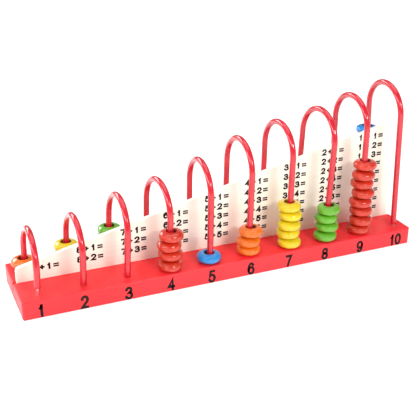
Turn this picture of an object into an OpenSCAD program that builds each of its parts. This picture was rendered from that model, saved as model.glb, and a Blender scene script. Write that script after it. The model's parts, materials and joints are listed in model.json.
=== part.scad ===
// Ten-arch counting frame for early arithmetic.
// A painted wooden base carries a wedge-shaped equation board in a sawn slot.
// Ten steel wires bent to an arch straddle the board, each covered by a soft
// plastic sleeve, and painted wooden beads slide on both legs of every arch.
// X runs along the base, Y from the front to the back, Z up.
// The origin is the centre of the underside of the base.

/* [Base] */
// Length of the base
base_l = 300; // [296:1:320]
// Depth of the base, front to back
base_d = 60; // [58:1:80]
// Thickness of the base
base_h = 13; // [12:0.5:20]
// Radius of the upright corners
base_corner_r = 2.5; // [1.5:0.5:5]
// Radius along the horizontal edges
base_edge_r = 0.8; // [0.5:0.1:1.4]

/* [Board] */
// Thickness of the equation board
board_t = 3; // [2:0.5:5]
// Distance from the left end of the base to the board
board_left_gap = 2.5; // [1:0.5:6]
// Distance from the board to the right end of the base, at the base's top
board_right_gap = 2.5; // [1.5:0.5:6]
// Lean of the board's right end, away from the upright
board_right_lean = 5.5; // [0:0.5:8]
// Height of the board's top edge above the table at its left end
board_low_z = 23.5; // [20:0.5:30]
// Height that the top edge would reach right above the right end's foot
board_high_z = 92; // [60:0.5:95]
// Radius of the board's low top corner
board_low_corner_r = 3; // [1:0.5:5]
// Radius of the board's high top corner
board_high_corner_r = 1; // [0.5:0.5:3]
// Depth of the slot that holds the board
slot_depth = 6; // [4:0.5:8]
// Room between the board and each wall of the slot
slot_play = 0.05; // [0:0.01:0.1]

/* [Arches] */
// Distance from the left end of the base to the first arch
first_arch_gap = 12.8; // [11:0.2:14]
// Distance from the last arch to the right end of the base
last_arch_gap = 10.4; // [10:0.2:14]
// Distance between the feet of an arch, centre to centre
foot_span = 42; // [40:0.5:44]
// Height of the top of each arch above the table
arch_tops = [51.5, 56, 66, 73, 83, 95, 103.5, 109.5, 117, 124]; // [50:0.5:130]
// Sideways lean of each hand-bent arch, towards the high end
arch_leans = [2, 2, 2.5, 1.5, 0.5, 1, 0.5, 2, -0.5, -2.5]; // [-3:0.5:3]
// Turn of each hand-bent arch about its upright
arch_turns = [0, 1, 0.5, 3.5, -1.5, 0, 1, 3, 1, -1]; // [-4:0.5:4]
// Sideways error of each arch along the base
arch_shifts = [-0.5, -1, -1, -2, -0.5, -1.5, -0.5, -0.5, -0.5, 1]; // [-2.5:0.5:1]

/* [Wires and sleeves] */
// Diameter of the steel wire
wire_d = 3; // [2.5:0.1:3]
// Depth of the wire in the base
wire_depth = 9; // [6:0.5:9]
// Room around the wire in its hole
hole_play = 0.05; // [0.02:0.01:0.1]
// Outside diameter of the plastic sleeve
sleeve_d = 4.4; // [4.2:0.1:4.8]
// Bore of the plastic sleeve
sleeve_bore_d = 3.2; // [3.1:0.1:3.4]
// Bare wire below the front end of each sleeve
sleeve_front_gaps = [4.5, 0.8, 0.3, 0.3, 0.3, 0.3, 0.3, 0.3, 0.3, 1.8]; // [0.3:0.1:5]
// Bare wire below the back end of every sleeve
sleeve_back_gap = 0.3; // [0.3:0.1:2]

/* [Beads] */
// Diameter of a bead
bead_d = 17.2; // [16:0.2:18]
// Thickness of the orange, yellow, green, red and blue beads
bead_ts = [7.05, 7.05, 6.95, 7.25, 6.9]; // [6.8:0.05:7.3]
// Diameter of the hole through a bead
bead_hole_d = 7.6; // [7.4:0.1:8]
// Fullness of a bead's rounded section, where 2 is an ellipse
bead_fullness = 2.7; // [2:0.1:3]
// Room between stacked beads
bead_gap = 0.05; // [0.02:0.01:0.1]
// How far a loose bead sits off the centre of its leg
bead_play = 0.8; // [0:0.1:0.8]
// Beads resting on the front leg of each arch
front_beads = [0, 0, 0, 4, 1, 3, 5, 4, 8, 0]; // [0:1:10]
// Beads resting on the back leg of each arch
back_beads = [1, 2, 3, 0, 4, 3, 2, 4, 1, 10]; // [0:1:10]

/* [Hidden] */
$fn = 48;
// Overrun of a cut past the face it starts from
cut = 1;
arch_count = len(arch_tops);
arch_pitch = (base_l - first_arch_gap - last_arch_gap) / (arch_count - 1);
foot_y = foot_span / 2;
slot_w = board_t + 2 * slot_play;
slot_floor_z = base_h - slot_depth;
// Blind hole a little deeper than the wire goes
hole_depth = wire_depth + 0.5;
BEAD_COLORS = ["orange", "gold", "limegreen", "red", "dodgerblue"];

FRONT = -1;
BACK = 1;
ARCHES = [0:arch_count - 1];

function side_name(side) = side == FRONT ? "front" : "back";
function bead_count(arch, side) = side == FRONT ? front_beads[arch] : back_beads[arch];
function bead_name(arch, side, level) = str("arch_", arch + 1, "_", side_name(side), "_bead_", level);

// Every bead as [arch, side, level], with level 1 at the bottom of its stack
BEADS = [
    for (arch = ARCHES)
        for (side = [FRONT, BACK])
            for (level = [1:1:bead_count(arch, side)])
                [arch, side, level]
];

// Where an arch stands along the base
function arch_x(arch) = -base_l / 2 + first_arch_gap + arch * arch_pitch + arch_shifts[arch];

// Length of an arch's straight legs above the base, where its half-round bend starts
function leg_l(arch) = arch_tops[arch] - base_h - sleeve_d / 2 - foot_y;

// Turns a point of an arch's own plane about its upright, then leans it over
function turned(p, turn) =
    [p[0] * cos(turn) - p[1] * sin(turn), p[0] * sin(turn) + p[1] * cos(turn), p[2]];
function leaned(p, lean) =
    [p[0] * cos(lean) + p[2] * sin(lean), p[1], p[2] * cos(lean) - p[0] * sin(lean)];
function arch_point(p, arch) = leaned(turned(p, arch_turns[arch]), arch_leans[arch]);

// Where a leg's centre line meets the base, and the direction in which it rises
function leg_foot(arch, side) = [arch_x(arch), 0, base_h] + arch_point([0, side * foot_y, 0], arch);
function leg_axis(arch) = arch_point([0, 0, 1], arch);

// Centre of a leg at a height above the table
function leg_at(arch, side, z) =
    let (foot = leg_foot(arch, side), axis = leg_axis(arch))
    foot + axis * (z - foot[2]) / axis[2];

// A loose bead's own small offset from its leg
function play_at(arch, level) =
    let (heading = 68 + 137 * level + 261 * arch)
    bead_play * [cos(heading), sin(heading), 0];

// Thickness of the beads of an arch, which share one colour
function bead_t(arch) = bead_ts[arch % len(bead_ts)];

// Centre of a bead
function bead_at(arch, side, level) =
    let (t = bead_t(arch), z = base_h + level * (bead_gap + t) - t / 2)
    leg_at(arch, side, z) + play_at(arch, level);

module rounded_rect(size, r) {
    inner = size - 2 * [r, r];
    square([size[0], inner[1]], center = true);
    square([inner[0], size[1]], center = true);
    for (x = [-1, 1], y = [-1, 1])
        translate([x * inner[0] / 2, y * inner[1] / 2])
            circle(r);
}

// Places its children in the plane of an arch, with Z up and Y from front to back
module on_arch(arch) {
    translate([arch_x(arch), 0, base_h])
        rotate([0, arch_leans[arch], 0])
            rotate([0, 0, arch_turns[arch]])
                children();
}

// Places its children at the foot of one leg in the arch's plane
module on_leg(side) {
    translate([0, side * foot_y, 0])
        children();
}

// Sweeps a flat outline round the bend of an arch
module on_bend(arch) {
    translate([0, 0, leg_l(arch)])
        rotate([90, 0, 90])
            rotate_extrude(angle = 180)
                translate([foot_y, 0])
                    children();
}

module base_block() {
    intersection() {
        linear_extrude(base_h)
            rounded_rect([base_l, base_d], base_corner_r);
        translate([0, 0, base_h / 2])
            rotate([90, 0, 90])
                linear_extrude(base_l + 2 * cut, center = true)
                    rounded_rect([base_d, base_h], base_edge_r);
        translate([0, 0, base_h / 2])
            rotate([90, 0, 0])
                linear_extrude(base_d + 2 * cut, center = true)
                    rounded_rect([base_l, base_h], base_edge_r);
    }
}

module base() {
    color("red")
        difference() {
            base_block();
            translate([-base_l / 2 - cut, -slot_w / 2, slot_floor_z])
                cube([base_l + 2 * cut, slot_w, slot_depth + cut]);
            for (arch = ARCHES, side = [FRONT, BACK])
                on_arch(arch)
                    on_leg(side)
                        translate([0, 0, -hole_depth])
                            cylinder(h = hole_depth + cut, d = wire_d + 2 * hole_play);
        }
}

// Points of a rounded corner, from one heading to another about its centre
function corner_points(x, z, r, from, to) =
    [for (i = [0:6]) [x, z] + r * [cos(from + (to - from) * i / 6), sin(from + (to - from) * i / 6)]];

module board_outline() {
    left = -base_l / 2 + board_left_gap;
    right = base_l / 2 - board_right_gap;
    rise = (board_high_z - board_low_z) / (right - left);
    slope = atan(rise);
    fall = tan(board_right_lean);
    // A corner's centre lies its radius inside each of its two edges, measured square to them
    low_x = left + board_low_corner_r;
    low_z = board_low_z + board_low_corner_r * (rise - 1 / cos(slope));
    high_r = board_high_corner_r;
    top_at_left = board_low_z - high_r / cos(slope);
    high_x = (right - high_r / cos(board_right_lean) - fall * (top_at_left - rise * left - base_h))
        / (1 + fall * rise);
    high_z = top_at_left + rise * (high_x - left);
    polygon(concat(
        [[left, slot_floor_z], [right + fall * slot_depth, slot_floor_z]],
        corner_points(high_x, high_z, high_r, board_right_lean, 90 + slope),
        corner_points(low_x, low_z, board_low_corner_r, 90 + slope, 180)
    ));
}

module board() {
    color("linen")
        rotate([90, 0, 0])
            linear_extrude(board_t, center = true)
                board_outline();
}

module wire(arch) {
    on_arch(arch) {
        for (side = [FRONT, BACK])
            on_leg(side)
                translate([0, 0, -wire_depth])
                    cylinder(h = wire_depth + leg_l(arch), d = wire_d);
        on_bend(arch)
            circle(d = wire_d);
    }
}

module wires() {
    color("silver")
        for (arch = ARCHES)
            wire(arch);
}

module sleeve_section() {
    difference() {
        circle(d = sleeve_d);
        circle(d = sleeve_bore_d);
    }
}

module sleeve(arch) {
    on_arch(arch) {
        for (side = [FRONT, BACK]) {
            gap = side == FRONT ? sleeve_front_gaps[arch] : sleeve_back_gap;
            on_leg(side)
                translate([0, 0, gap])
                    linear_extrude(leg_l(arch) - gap)
                        sleeve_section();
        }
        on_bend(arch)
            sleeve_section();
    }
}

module sleeves() {
    color("crimson")
        for (arch = ARCHES)
            sleeve(arch);
}

// Right half of a bead's section, level with its middle: a full oval cut off at the hole
module bead_section(t) {
    steps = 12;
    power = 2 / bead_fullness;
    hole_ratio = bead_hole_d / bead_d;
    hole_angle = asin(pow(hole_ratio, 1 / power));
    oval_h = t / 2 / pow(cos(hole_angle), power);
    upper = [
        for (i = [0:steps])
            let (angle = hole_angle + (90 - hole_angle) * i / steps)
            [bead_d / 2 * pow(sin(angle), power), oval_h * pow(cos(angle), power)]
    ];
    lower = [for (i = [steps - 1:-1:0]) [upper[i][0], -upper[i][1]]];
    polygon(concat(upper, lower));
}

module bead(arch, side, level) {
    color(BEAD_COLORS[arch % len(BEAD_COLORS)])
        translate(bead_at(arch, side, level))
            rotate_extrude()
                bead_section(bead_t(arch));
}

base();
board();
wires();
sleeves();
for (b = BEADS)
    bead(b[0], b[1], b[2]);
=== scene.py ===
"""The arch abacus around its CAD frame: lacquered beads, printed sums, materials, lights and camera."""

import json
import math

import bmesh
import bpy
from mathutils import Matrix, Vector


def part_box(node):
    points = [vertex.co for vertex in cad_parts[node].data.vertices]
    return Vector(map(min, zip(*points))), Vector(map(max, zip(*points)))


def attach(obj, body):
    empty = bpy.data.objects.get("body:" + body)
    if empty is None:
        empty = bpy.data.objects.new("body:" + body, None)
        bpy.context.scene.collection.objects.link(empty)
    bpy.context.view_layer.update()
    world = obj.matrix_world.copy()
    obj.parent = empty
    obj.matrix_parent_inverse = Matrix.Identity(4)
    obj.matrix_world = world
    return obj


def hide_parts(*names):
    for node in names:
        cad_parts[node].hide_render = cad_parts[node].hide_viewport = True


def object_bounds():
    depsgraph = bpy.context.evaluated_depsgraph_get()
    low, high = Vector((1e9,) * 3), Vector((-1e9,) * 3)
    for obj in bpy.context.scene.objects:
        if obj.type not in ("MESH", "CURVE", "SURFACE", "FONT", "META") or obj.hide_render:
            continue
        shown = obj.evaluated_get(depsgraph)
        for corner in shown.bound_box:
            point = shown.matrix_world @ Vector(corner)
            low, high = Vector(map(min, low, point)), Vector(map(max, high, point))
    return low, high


MM = 0.001
WHITE = (1.0, 1.0, 1.0)

# Camera, turned to the object's left and looking down at it. Angles are in degrees.
CAMERA_AZIMUTH = -23.67
CAMERA_ELEVATION = 23.88
CAMERA_ROLL = 0.52
CAMERA_DISTANCE = 0.5764
CAMERA_TARGET = Vector((-0.0064, 0.0, 0.0421))
CAMERA_LENS = 68.67
CAMERA_SENSOR = 36.0
CAMERA_CLIP_START = 0.01

# Bead section: the CAD beads' oval and hole, with a small rounded lip at the hole
BEAD_SEGMENTS = 72
BEAD_OVAL_STEPS = 20
BEAD_LIP_STEPS = 6
BEAD_FULLNESS = 2.7
BEAD_HOLE_R = 3.8 * MM
BEAD_LIP_R = 0.45 * MM
# Turn from one bead's grain to the next one's, in radians: the golden angle, so that no two match
BEAD_TURN = 2.399963
# Bead lacquer: ring spacing left by turning, the rubbed rim, and painted shade just inside the hole, drawn as
# dark bare wood
TURNING_PITCH = 0.42 * MM
RIM_START_R = 8.3 * MM
RIM_END_R = 8.6 * MM
HOLE_SHADE_START_R = BEAD_HOLE_R + 0.25 * MM
HOLE_SHADE_END_R = BEAD_HOLE_R + 0.05 * MM

# Ink: height above and depth under the face, and the pen's shape
INK_PROUD = 0.04 * MM
INK_SUNK = 0.02 * MM
# How far a stroke runs past its centre line's ends, in pen widths
PEN_OVERRUN = 0.4
# Ends of a centre line nearer than this many pen widths make a closed stroke
CLOSING_GAP = 0.01
# Smallest cosine that a mitred corner is widened by
MITRE_LIMIT = 0.45

# Numbers, from the left end and the underside of the base
NUMBER_COUNT = 10
NUMBER_HEIGHT = 10.0 * MM
NUMBER_PEN = 1.95 * MM
NUMBER_WIDTH = 5.8 * MM
NUMBER_ONE_WIDTH = 3.6 * MM
NUMBER_RISE = 5.35 * MM
NUMBER_FIRST_GAP = 10.5 * MM
NUMBER_PITCH = 30.5 * MM
# The first and last numbers stand this much further right
NUMBER_END_NUDGE = 1.5 * MM
NUMBER_SPACING = 5.4 * MM

# Sums, from the left end of the board and the top of the base
SUM_COLUMNS = 9
SUM_PEN = 1.3 * MM
SUM_EQUALS_THINNING = 0.88
SUM_HEIGHT = 5.1 * MM
SUM_WIDTH = 4.0 * MM
SUM_ONE_WIDTH = 2.6 * MM
SUM_PLUS_WIDTH = 3.6 * MM
SUM_EQUALS_WIDTH = 4.2 * MM
SUM_EQUALS_HEIGHT = 2.9 * MM
SUM_ADVANCE = 4.9 * MM
SUM_ROW_PITCH = 7.42 * MM
SUM_LOWEST_GAP = 6.6 * MM
SUM_FIRST_GAP = 9.6 * MM
SUM_COLUMN_PITCH = 31.56 * MM
# The print is a little uneven: the first column is off by (x, z) and the last one by x
SUM_FIRST_NUDGE = (0.5 * MM, -0.5 * MM)
SUM_LAST_NUDGE = 2.6 * MM
# How far right the first number and the plus are printed, in the columns with these first numbers
SUM_LEAD_NUDGES = {9: (1.4 * MM, 0.2 * MM), 1: (-3.0 * MM, -1.4 * MM)}

BEAD_COLORS = {
    "bead_orange": (0.77, 0.150, 0.005),
    "bead_yellow": (0.73, 0.555, 0.010),
    "bead_green": (0.125, 0.420, 0.022),
    "bead_red": (0.57, 0.028, 0.010),
    "bead_blue": (0.006, 0.240, 0.64),
}

# Stage
FLOOR_REACH = 12.0
FLOOR_DROP = 0.02 * MM
WORLD_STRENGTH = 0.28
# Area lights, aimed at the middle of the object:
# name, place in metres, width and height in metres, power in watts, colour, roll in degrees
LIGHTS = (
    ("key", (0.25, -0.95, 0.62), (0.42, 0.16), 7.4, (1.0, 0.98, 0.95), -20),
    ("side", (-0.64, -0.16, 0.375), (1.58, 0.07), 4.8, (0.97, 0.98, 1.0), 17),
    ("top", (0.0, 0.15, 1.1), (1.4, 0.8), 6.2, WHITE, 0),
    ("back", (-0.5, 0.9, 0.6), (0.7, 0.35), 6.5, WHITE, 0),
)


# ---------------------------------------------------------------- shader helpers
class Graph:
    """A material's node tree with short calls for the nodes used here."""

    def __init__(self, name):
        self.material = bpy.data.materials.new(name)
        self.material.use_nodes = True
        self.tree = self.material.node_tree
        self.tree.nodes.clear()
        self.out = self.node("ShaderNodeOutputMaterial")
        self.shader = self.node("ShaderNodeBsdfPrincipled")
        self.link(self.shader.outputs["BSDF"], self.out.inputs["Surface"])

    def node(self, kind, **settings):
        made = self.tree.nodes.new(kind)
        for key, value in settings.items():
            setattr(made, key, value)
        return made

    def link(self, source, target):
        self.tree.links.new(source, target)

    def feed(self, socket, value):
        """Links an input to another socket, or sets it to a constant. Colours have three channels."""
        if isinstance(value, bpy.types.NodeSocket):
            self.link(value, socket)
        elif socket.type == "RGBA":
            socket.default_value = (*value, 1.0)
        else:
            socket.default_value = value

    def put(self, node, **values):
        """Feeds inputs by name, with spaces written as underscores."""
        for key, value in values.items():
            self.feed(node.inputs[key.replace("_", " ")], value)

    def place(self, stretch=(1, 1, 1)):
        """Object coordinates, stretched per axis."""
        coordinate = self.node("ShaderNodeTexCoord")
        mapping = self.node("ShaderNodeMapping")
        mapping.inputs["Scale"].default_value = stretch
        self.link(coordinate.outputs["Object"], mapping.inputs["Vector"])
        return mapping.outputs["Vector"]

    def noise(self, scale, detail=3.0, roughness=0.5, stretch=(1, 1, 1), distortion=0.0):
        texture = self.node("ShaderNodeTexNoise")
        self.put(texture, Vector=self.place(stretch), Scale=scale, Detail=detail,
                 Roughness=roughness, Distortion=distortion)
        return texture.outputs["Fac"]

    def ramp(self, value, low, high, start=0.0, end=1.0):
        """Maps value from [low, high] onto [start, end], held inside it."""
        mapped = self.node("ShaderNodeMapRange", clamp=True)
        self.put(mapped, Value=value, From_Min=low, From_Max=high, To_Min=start, To_Max=end)
        return mapped.outputs["Result"]

    def math(self, operation, first, second=0.0):
        made = self.node("ShaderNodeMath", operation=operation)
        self.feed(made.inputs[0], first)
        self.feed(made.inputs[1], second)
        return made.outputs[0]

    def mix(self, share, first, second):
        """Blends two colours. A Mix node's colour sockets come after its number and vector ones."""
        made = self.node("ShaderNodeMix", data_type="RGBA")
        self.feed(made.inputs[0], share)
        self.feed(made.inputs[6], first)
        self.feed(made.inputs[7], second)
        return made.outputs[2]

    def bump(self, height, distance, strength, normal=None):
        made = self.node("ShaderNodeBump")
        self.put(made, Height=height, Distance=distance, Strength=strength)
        if normal is not None:
            self.link(normal, made.inputs["Normal"])
        return made.outputs["Normal"]

    def edges(self, radius):
        """1 on sharp edges and 0 on flats, from how far a rounded normal leans from the true one."""
        bevel = self.node("ShaderNodeBevel", samples=4)
        bevel.inputs["Radius"].default_value = radius
        geometry = self.node("ShaderNodeNewGeometry")
        dot = self.node("ShaderNodeVectorMath", operation="DOT_PRODUCT")
        self.link(bevel.outputs["Normal"], dot.inputs[0])
        self.link(geometry.outputs["True Normal"], dot.inputs[1])
        return self.ramp(self.math("SUBTRACT", 1.0, dot.outputs["Value"]), 0.02, 0.35)

    def radius_from_axis(self):
        """Distance from the object's own Z axis."""
        coordinate = self.node("ShaderNodeTexCoord")
        flat = self.node("ShaderNodeVectorMath", operation="MULTIPLY")
        flat.inputs[1].default_value = (1, 1, 0)
        length = self.node("ShaderNodeVectorMath", operation="LENGTH")
        self.link(coordinate.outputs["Object"], flat.inputs[0])
        self.link(flat.outputs["Vector"], length.inputs[0])
        return length.outputs["Value"]


def scaled(color, factor):
    return tuple(min(1.0, channel * factor) for channel in color)


# ---------------------------------------------------------------- materials
def base_paint():
    """Glossy red paint over sanded wood: the grain shows faintly through, edges are rubbed lighter."""
    red = (0.90, 0.022, 0.030)
    g = Graph("base_red_paint")
    grain = g.noise(260, 6, 0.62, stretch=(0.06, 1, 1), distortion=0.4)
    patches = g.noise(14, 3, 0.5, stretch=(0.5, 1, 1))
    color = g.mix(g.ramp(patches, 0.3, 0.7), scaled(red, 0.92), (0.93, 0.032, 0.042))
    color = g.mix(g.ramp(grain, 0.56, 0.72, 0.0, 0.22), color, scaled(red, 0.62))
    worn = g.math("MULTIPLY", g.edges(0.9 * MM), g.ramp(g.noise(420, 4), 0.42, 0.62))
    color = g.mix(g.math("MULTIPLY", worn, 0.45), color, (0.90, 0.25, 0.20))
    specks = g.ramp(g.noise(1900, 1), 0.73, 0.76)
    color = g.mix(g.math("MULTIPLY", specks, 0.25), color, (0.95, 0.45, 0.40))
    smears = g.noise(45, 5, 0.6, stretch=(0.35, 1, 1))
    normal = g.bump(grain, 0.06 * MM, 0.5)
    normal = g.bump(g.noise(900, 2), 0.012 * MM, 0.6, normal)
    g.put(g.shader, Base_Color=color, Roughness=g.ramp(smears, 0.3, 0.7, 0.34, 0.50), Normal=normal,
          Coat_Weight=0.12, Coat_Roughness=0.18, Specular_IOR_Level=0.28)
    return g.material


def board_wood():
    """Pale close-grained wood under a thin matt varnish, with fine streaks along the board."""
    g = Graph("board_pale_wood")
    rings = g.noise(55, 5, 0.55, stretch=(0.10, 1, 1), distortion=0.8)
    fibres = g.noise(700, 5, 0.65, stretch=(0.03, 1, 1))
    pores = g.noise(1500, 2, 0.6, stretch=(0.05, 1, 1))
    color = g.mix(g.ramp(rings, 0.32, 0.68), (0.975, 0.955, 0.840), (0.950, 0.912, 0.785))
    color = g.mix(g.ramp(fibres, 0.45, 0.75, 0.0, 0.20), color, (0.85, 0.70, 0.57))
    color = g.mix(g.ramp(pores, 0.66, 0.76, 0.0, 0.22), color, (0.66, 0.49, 0.37))
    color = g.mix(g.math("MULTIPLY", g.edges(0.5 * MM), 0.35), color, (0.78, 0.60, 0.45))
    normal = g.bump(fibres, 0.05 * MM, 0.5)
    normal = g.bump(pores, 0.03 * MM, 0.5, normal)
    g.put(g.shader, Base_Color=color, Roughness=g.ramp(rings, 0.3, 0.7, 0.48, 0.62), Normal=normal,
          Coat_Weight=0.08, Coat_Roughness=0.35)
    return g.material


def sleeve_plastic():
    """Soft glossy red tube: smooth, faintly wavy from extrusion, with handling marks in its shine."""
    g = Graph("sleeve_red_plastic")
    waves = g.noise(130, 2, 0.5)
    scuffs = g.noise(620, 5, 0.65, stretch=(1, 1, 0.3))
    color = g.mix(g.ramp(waves, 0.35, 0.65), (0.54, 0.008, 0.020), (0.61, 0.013, 0.028))
    color = g.mix(g.ramp(scuffs, 0.62, 0.78, 0.0, 0.12), color, (0.80, 0.12, 0.12))
    normal = g.bump(waves, 0.05 * MM, 0.3)
    normal = g.bump(scuffs, 0.004 * MM, 0.3, normal)
    g.put(g.shader, Base_Color=color, Roughness=g.ramp(scuffs, 0.35, 0.75, 0.24, 0.36), Normal=normal,
          Coat_Weight=1.0, Coat_Roughness=0.02, Specular_IOR_Level=0.20)
    return g.material


def wire_steel():
    """Bright drawn wire with fine lengthwise scratches."""
    g = Graph("wire_drawn_steel")
    scratches = g.noise(2600, 3, 0.6, stretch=(1, 1, 0.04))
    tarnish = g.noise(240, 3)
    color = g.mix(g.ramp(tarnish, 0.35, 0.7), (0.78, 0.77, 0.75), (0.56, 0.54, 0.51))
    g.put(g.shader, Base_Color=color, Metallic=1.0, Roughness=g.ramp(scratches, 0.3, 0.7, 0.16, 0.36),
          Normal=g.bump(scratches, 0.01 * MM, 0.6), Anisotropic=0.4)
    return g.material


def ink_black():
    """Stamped black ink: slightly thin and mottled."""
    g = Graph("print_black_ink")
    mottle = g.noise(900, 4, 0.6)
    color = g.mix(g.ramp(mottle, 0.35, 0.75), (0.006, 0.006, 0.007), (0.022, 0.019, 0.020))
    g.put(g.shader, Base_Color=color, Roughness=g.ramp(mottle, 0.3, 0.7, 0.60, 0.80),
          Normal=g.bump(mottle, 0.01 * MM, 0.5), Specular_IOR_Level=0.15)
    return g.material


def bead_paint(slot, color):
    """Glossy lacquer on a turned wooden ring: grain and turning rings show, with painted shade drawn as dark
    bare wood in the hole.
    """
    g = Graph(slot + "_lacquer")
    radius = g.radius_from_axis()
    own = g.node("ShaderNodeObjectInfo").outputs["Random"]
    clouds = g.noise(170, 3, 0.55)
    grain = g.noise(900, 5, 0.6, stretch=(1, 0.12, 1))
    turning = g.math("SINE", g.math("MULTIPLY", radius, 2 * math.pi / TURNING_PITCH))
    tint = g.mix(g.ramp(clouds, 0.3, 0.7), scaled(color, 0.86), scaled(color, 1.08))
    tint = g.mix(g.ramp(own, 0.0, 1.0, 0.0, 0.16), tint, scaled(color, 0.72))
    tint = g.mix(g.ramp(grain, 0.55, 0.75, 0.0, 0.20), tint, scaled(color, 0.60))
    rubbed = g.math("MULTIPLY", g.ramp(radius, RIM_START_R, RIM_END_R), g.ramp(g.noise(520, 4), 0.55, 0.68))
    tint = g.mix(g.math("MULTIPLY", rubbed, 0.07), tint, (0.95, 0.80, 0.62))
    # Painted shade: the wall just inside the hole is darkened nearly to black, drawn as dark bare wood
    hole_shade = g.math("MULTIPLY", g.ramp(radius, HOLE_SHADE_START_R, HOLE_SHADE_END_R), g.ramp(g.noise(700, 3), 0.30, 0.55))
    tint = g.mix(g.math("MULTIPLY", hole_shade, 0.85), tint, (0.12, 0.05, 0.025))
    normal = g.bump(clouds, 0.04 * MM, 0.25)
    normal = g.bump(grain, 0.005 * MM, 0.3, normal)
    normal = g.bump(turning, 0.0015 * MM, 0.4, normal)
    g.put(g.shader, Base_Color=tint, Roughness=g.ramp(g.noise(330, 4), 0.3, 0.7, 0.26, 0.38), Normal=normal,
          Coat_Weight=0.95, Coat_Roughness=0.04, Specular_IOR_Level=0.15)
    return g.material


def floor_paper():
    """Plain pale sheet that the abacus stands on, lit from below a little, and more so far from the lamps."""
    g = Graph("floor_pale")
    tone = g.noise(3, 2)
    glow = g.ramp(g.radius_from_axis(), 0.5, 1.6, 0.36, 0.80)
    g.put(g.shader, Base_Color=g.mix(tone, (0.93, 0.93, 0.93), (0.95, 0.95, 0.95)), Roughness=0.6,
          Emission_Color=WHITE, Emission_Strength=glow)
    return g.material


# ---------------------------------------------------------------- meshes
def mesh_object(name, mesh, material):
    made = bpy.data.objects.new(name, mesh)
    bpy.context.scene.collection.objects.link(made)
    mesh.materials.append(material)
    return made


def arc_points(x, z, r, start, end, steps):
    """Points round a circle, from one heading to another, in degrees."""
    turns = [math.radians(start + (end - start) * i / steps) for i in range(steps + 1)]
    return [(x + r * math.cos(t), z + r * math.sin(t)) for t in turns]


def bead_section(outer_r, thickness):
    """The closed outline of a bead's section: a full oval cut off at the hole, with a small lip there."""
    lip_x = BEAD_HOLE_R + BEAD_LIP_R
    power = 2 / BEAD_FULLNESS
    hole_share, lip_share = (math.asin((x / outer_r) ** (1 / power)) for x in (BEAD_HOLE_R, lip_x))
    oval_h = thickness / 2 / math.cos(hole_share) ** power
    turns = [lip_share + (math.pi / 2 - lip_share) * i / BEAD_OVAL_STEPS for i in range(BEAD_OVAL_STEPS)]
    upper = [(outer_r * math.sin(t) ** power, oval_h * math.cos(t) ** power) for t in turns]
    lip_z = upper[0][1] - BEAD_LIP_R
    upper = arc_points(lip_x, lip_z, BEAD_LIP_R, 180, 90, BEAD_LIP_STEPS)[:-1] + upper
    lower = [(x, -z) for x, z in reversed(upper)]
    return upper + [(outer_r, 0)] + lower


def bead_mesh(name, outer_r, thickness):
    """A ring turned from the section, round the object's own Z axis."""
    section = bead_section(outer_r, thickness)
    count = len(section)
    points = []
    faces = []
    for turn in range(BEAD_SEGMENTS):
        angle = 2 * math.pi * turn / BEAD_SEGMENTS
        points += [(x * math.cos(angle), x * math.sin(angle), z) for x, z in section]
        here = turn * count
        there = (turn + 1) % BEAD_SEGMENTS * count
        for i in range(count):
            j = (i + 1) % count
            faces.append((here + i, here + j, there + j, there + i))
    mesh = bpy.data.meshes.new(name)
    mesh.from_pydata(points, [], faces)
    mesh.shade_smooth()
    mesh.validate()
    return mesh


def arc(x, y, rx, ry, start, end, steps=14):
    """Points along an ellipse, from one heading to another in degrees, clockwise when end is the smaller."""
    return [(x + rx * across, y + ry * up) for across, up in arc_points(0, 0, 1, start, end, steps)]


def glyph_strokes(character):
    """Centre lines of one character's pen strokes, in a box from (0, 0) to (1, 1)."""
    bowl_left = arc(0.5, 0.5, 0.5, 0.5, 38, 180)
    return {
        "0": [arc(0.5, 0.5, 0.5, 0.5, 0, 360, 28)],
        "1": [[(0.70, 0.0), (0.70, 1.0)], [(0.70, 0.98), (0.50, 0.82), (0.10, 0.72)]],
        "2": [arc(0.5, 0.71, 0.48, 0.29, 170, -38) + [(0.0, 0.0), (1.0, 0.0)]],
        "3": [arc(0.47, 0.76, 0.43, 0.24, 165, -90) + arc(0.47, 0.27, 0.53, 0.27, 85, -165)],
        "4": [[(0.74, 0.0), (0.74, 1.0), (0.0, 0.30), (1.0, 0.30)]],
        "5": [[(0.92, 1.0), (0.20, 1.0), (0.08, 0.52)] + arc(0.48, 0.32, 0.52, 0.33, 122, -160)],
        "6": [bowl_left + [(0.0, 0.32)], arc(0.5, 0.31, 0.5, 0.31, 180, -180, 24)],
        "7": [[(0.0, 1.0), (1.0, 1.0), (0.62, 0.52), (0.36, 0.0)]],
        "8": [arc(0.5, 0.76, 0.42, 0.24, 90, -270, 22), arc(0.5, 0.27, 0.5, 0.27, 90, -270, 24)],
        "9": [[(1 - x, 1 - y) for x, y in bowl_left + [(0.0, 0.32)]], arc(0.5, 0.69, 0.5, 0.31, 0, 360, 24)],
        "+": [[(0.0, 0.5), (1.0, 0.5)], [(0.5, 0.0), (0.5, 1.0)]],
        "=": [[(0.0, 0.0), (1.0, 0.0)], [(0.0, 1.0), (1.0, 1.0)]],
    }[character]


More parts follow.
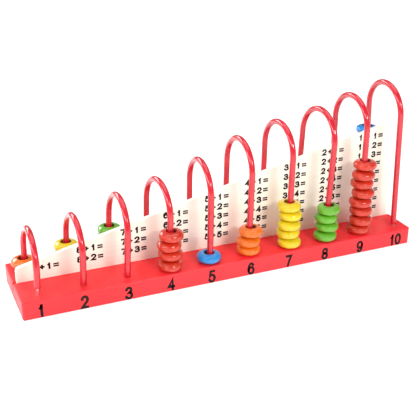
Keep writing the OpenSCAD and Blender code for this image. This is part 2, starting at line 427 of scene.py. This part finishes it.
def add_stroke(target, line, pen, front_y):
    """A raised ribbon along a centre line on the plane y = front_y, with mitred corners and square ends."""
    line = [Vector(point) for point in line]
    closed = (line[0] - line[-1]).length < pen * CLOSING_GAP
    if closed:
        line = line[:-1]
    else:
        line[0] += (line[0] - line[1]).normalized() * pen * PEN_OVERRUN
        line[-1] += (line[-1] - line[-2]).normalized() * pen * PEN_OVERRUN
    count = len(line)
    sides = []
    for i, point in enumerate(line):
        before = line[i - 1] if closed or i > 0 else None
        after = line[(i + 1) % count] if closed or i < count - 1 else None
        into = (point - before).normalized() if before is not None else (after - point).normalized()
        out_of = (after - point).normalized() if after is not None else into
        across = Vector((-into.y - out_of.y, into.x + out_of.x)).normalized()
        reach = pen / 2 / max(MITRE_LIMIT, across.dot(Vector((-into.y, into.x))))
        sides.append((point + across * reach, point - across * reach))
    rings = []
    for left, right in sides:
        rings.append([
            target.verts.new((left.x, front_y - INK_PROUD, left.y)),
            target.verts.new((right.x, front_y - INK_PROUD, right.y)),
            target.verts.new((right.x, front_y + INK_SUNK, right.y)),
            target.verts.new((left.x, front_y + INK_SUNK, left.y)),
        ])
    for i in range(count if closed else count - 1):
        here = rings[i]
        there = rings[(i + 1) % count]
        for j in range(4):
            k = (j + 1) % 4
            target.faces.new((here[j], here[k], there[k], there[j]))
    if not closed:
        target.faces.new(rings[0])
        target.faces.new(rings[-1])


def ink_piece(name, marks, pen, front_y, material):
    """One print on the plane y = front_y. Marks are (character, centre x, centre z, width, height)."""
    print_mesh = bmesh.new()
    for character, x, z, width, height in marks:
        stroke_pen = pen * SUM_EQUALS_THINNING if character == "=" else pen
        for line in glyph_strokes(character):
            placed = [(x + (u - 0.5) * (width - pen), z + (v - 0.5) * (height - pen)) for u, v in line]
            add_stroke(print_mesh, placed, stroke_pen, front_y)
    bmesh.ops.recalc_face_normals(print_mesh, faces=print_mesh.faces)
    mesh = bpy.data.meshes.new(name)
    print_mesh.to_mesh(mesh)
    print_mesh.free()
    piece = mesh_object(name, mesh, material)
    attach(piece, "stand")


# ---------------------------------------------------------------- the object
def dress_cad_nodes(frame):
    """Gives the CAD nodes that stay in view their finished materials."""
    finishes = {
        "base": base_paint(),
        "board": board_wood(),
        "sleeves": sleeve_plastic(),
        "wires": wire_steel(),
    }
    for node, material in finishes.items():
        shown = frame["nodes"][node]
        shown.data.materials.clear()
        shown.data.materials.append(material)


def add_beads(frame):
    """One lacquered bead over each CAD bead, turned about its own axis so that no two show the same grain."""
    slots = {part["node"]: part["material_slot"] for part in frame["record"]["subparts"]}
    paints = {slot: bead_paint(slot, color) for slot, color in BEAD_COLORS.items()}
    meshes = {}
    for index, node in enumerate(sorted(n for n in frame["nodes"] if "_bead_" in n)):
        low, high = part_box(node)
        slot = slots[node]
        if slot not in meshes:
            meshes[slot] = bead_mesh(slot, (high.x - low.x) / 2, high.z - low.z)
            meshes[slot].materials.append(paints[slot])
        bead = bpy.data.objects.new("lacquered_" + node, meshes[slot])
        bpy.context.scene.collection.objects.link(bead)
        bead.location = (low + high) / 2
        bead.rotation_euler.z = index * BEAD_TURN
        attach(bead, node)
        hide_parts(node)


def add_numbers(material):
    """The numbers 1 to 10 along the front of the base."""
    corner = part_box("base")[0]
    for number in range(1, NUMBER_COUNT + 1):
        digits = str(number)
        middle = corner.x + NUMBER_FIRST_GAP + (number - 1) * NUMBER_PITCH
        if number in (1, NUMBER_COUNT):
            middle += NUMBER_END_NUDGE
        marks = []
        for place, digit in enumerate(digits):
            x = middle + (place - (len(digits) - 1) / 2) * NUMBER_SPACING
            width = NUMBER_ONE_WIDTH if digit == "1" else NUMBER_WIDTH
            marks.append((digit, x, corner.z + NUMBER_RISE, width, NUMBER_HEIGHT))
        ink_piece(f"print_number_{number}", marks, NUMBER_PEN, corner.y, material)


def sum_marks(first, second, left, low):
    """The four characters of one sum, such as 7+3=, with its left end and lowest edge."""
    marks = []
    for place, character in enumerate(f"{first}+{second}="):
        x = left + (place + 0.5) * SUM_ADVANCE
        z = low + SUM_HEIGHT / 2
        if place < 2 and first in SUM_LEAD_NUDGES:
            x += SUM_LEAD_NUDGES[first][place]
        if character == "+":
            marks.append((character, x, z, SUM_PLUS_WIDTH, SUM_PLUS_WIDTH))
        elif character == "=":
            marks.append((character, x, z, SUM_EQUALS_WIDTH, SUM_EQUALS_HEIGHT))
        elif character == "1":
            marks.append((character, x, z, SUM_ONE_WIDTH, SUM_HEIGHT))
        else:
            marks.append((character, x, z, SUM_WIDTH, SUM_HEIGHT))
    return marks


def add_sums(material):
    """Nine columns of sums that make ten, one row in the first column up to nine in the last."""
    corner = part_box("board")[0]
    base_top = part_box("base")[1].z
    for column in range(1, SUM_COLUMNS + 1):
        left = corner.x + SUM_FIRST_GAP + (column - 1) * SUM_COLUMN_PITCH
        lowest = base_top + SUM_LOWEST_GAP
        if column == 1:
            left += SUM_FIRST_NUDGE[0]
            lowest += SUM_FIRST_NUDGE[1]
        if column == SUM_COLUMNS:
            left += SUM_LAST_NUDGE
        marks = []
        for row in range(1, column + 1):
            low = lowest + (column - row) * SUM_ROW_PITCH
            marks += sum_marks(SUM_COLUMNS + 1 - column, row, left, low)
        ink_piece(f"print_sums_{column}", marks, SUM_PEN, corner.y, material)


# ---------------------------------------------------------------- stage
def look_matrix(place, target, roll):
    """Stands at place and looks at target, rolled by so many degrees about the line of sight."""
    forward = (target - place).normalized()
    turn = forward.to_track_quat("-Z", "Y").to_matrix().to_4x4()
    return Matrix.Translation(place) @ turn @ Matrix.Rotation(math.radians(roll), 4, "Z")


def add_camera():
    """The photograph's camera."""
    azimuth = math.radians(CAMERA_AZIMUTH)
    elevation = math.radians(CAMERA_ELEVATION)
    back = Vector((
        math.sin(azimuth) * math.cos(elevation),
        -math.cos(azimuth) * math.cos(elevation),
        math.sin(elevation),
    ))
    camera = bpy.data.objects.new("camera", bpy.data.cameras.new("camera"))
    camera.data.lens = CAMERA_LENS
    camera.data.sensor_width = CAMERA_SENSOR
    camera.data.clip_start = CAMERA_CLIP_START
    camera.matrix_world = look_matrix(CAMERA_TARGET + back * CAMERA_DISTANCE, CAMERA_TARGET, CAMERA_ROLL)
    bpy.context.scene.collection.objects.link(camera)
    bpy.context.scene.camera = camera


def add_light(name, place, target, size, power, color, roll):
    """One rectangular area light."""
    light = bpy.data.objects.new(name, bpy.data.lights.new(name, "AREA"))
    light.data.shape = "RECTANGLE"
    light.data.size, light.data.size_y = size
    light.data.energy = power
    light.data.color = color
    light.matrix_world = look_matrix(Vector(place), Vector(target), roll)
    bpy.context.scene.collection.objects.link(light)


def add_stage():
    """The pale floor, soft even surroundings and the lights."""
    low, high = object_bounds()
    corners = [(x * FLOOR_REACH, y * FLOOR_REACH, 0) for x, y in ((-1, -1), (1, -1), (1, 1), (-1, 1))]
    floor_mesh = bpy.data.meshes.new("floor")
    floor_mesh.from_pydata(corners, [], [(0, 1, 2, 3)])
    floor = mesh_object("floor", floor_mesh, floor_paper())
    floor.location.z = low.z - FLOOR_DROP

    world = bpy.data.worlds.new("studio")
    world.use_nodes = True
    backdrop = world.node_tree.nodes["Background"]
    backdrop.inputs["Color"].default_value = (*WHITE, 1.0)
    backdrop.inputs["Strength"].default_value = WORLD_STRENGTH
    bpy.context.scene.world = world

    for name, place, size, power, color, roll in LIGHTS:
        add_light(name, place, (low + high) / 2, size, power, color, roll)
    bpy.context.scene.view_settings.view_transform = "Standard"


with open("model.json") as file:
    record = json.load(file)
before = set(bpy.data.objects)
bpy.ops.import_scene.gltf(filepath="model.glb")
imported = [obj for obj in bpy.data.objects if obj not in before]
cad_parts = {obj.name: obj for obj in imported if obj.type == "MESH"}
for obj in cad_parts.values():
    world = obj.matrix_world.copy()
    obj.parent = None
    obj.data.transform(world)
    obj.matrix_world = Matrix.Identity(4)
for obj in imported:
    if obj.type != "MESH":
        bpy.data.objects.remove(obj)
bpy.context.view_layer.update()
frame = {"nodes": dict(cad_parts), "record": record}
add_camera()
dress_cad_nodes(frame)
add_beads(frame)
ink = ink_black()
add_numbers(ink)
add_sums(ink)
add_stage()
